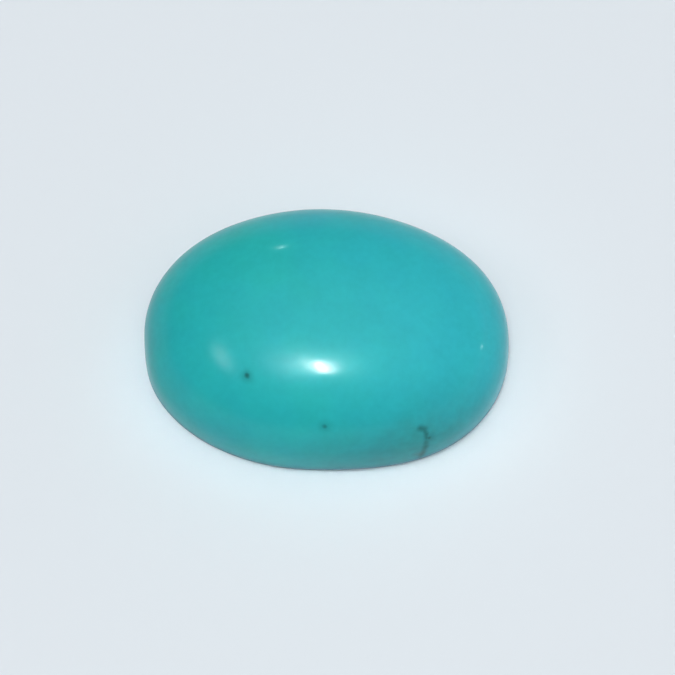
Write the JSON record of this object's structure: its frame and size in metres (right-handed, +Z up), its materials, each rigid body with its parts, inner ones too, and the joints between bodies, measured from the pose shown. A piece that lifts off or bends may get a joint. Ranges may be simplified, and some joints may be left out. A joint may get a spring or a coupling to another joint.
{
  "type": "oval turquoise cabochon",
  "caption": "Oval turquoise cabochon: a polished stone with a high smooth dome, a side that rounds under at its lower edge and a flat ground back, to rest on a surface or be set in a bezel.",
  "frame": {"origin": "middle of the flat ground back, on the surface the stone rests on", "axes": "+X along the oval's long axis, +Y across the oval, +Z up through the crown of the dome"},
  "size_m": [0.018, 0.0132, 0.0065],
  "materials": {
    "turquoise": "polished on the dome and side, fine ground on the back, with a few small dark flecks of matrix and one short dark vein near the edge"
  },
  "bodies": {
    "root": {"turquoise_cabochon": "turquoise"}
  },
  "joints": []
}
